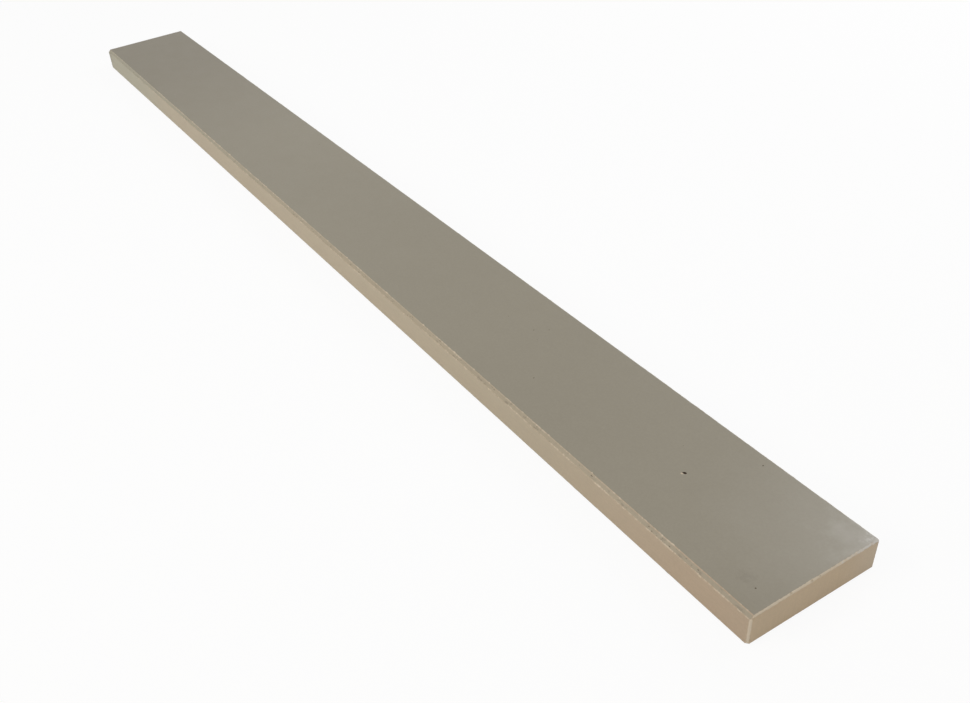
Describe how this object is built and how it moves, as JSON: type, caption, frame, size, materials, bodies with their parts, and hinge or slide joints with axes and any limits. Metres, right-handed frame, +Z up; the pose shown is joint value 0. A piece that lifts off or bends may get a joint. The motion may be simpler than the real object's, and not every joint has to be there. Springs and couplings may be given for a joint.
{
  "type": "composite window sill",
  "caption": "Straight flat bar of stone composite with a chamfered front top edge and eased arrises, bedded under a window as its sill.",
  "frame": {"origin": "middle of the underside", "axes": "+X along the sill, +Y from the chamfered front edge towards the back edge, +Z up out of the top face"},
  "size_m": [0.96, 0.085, 0.02],
  "materials": {
    "composite": "satin"
  },
  "bodies": {
    "root": {"window_sill": "composite"}
  },
  "joints": []
}
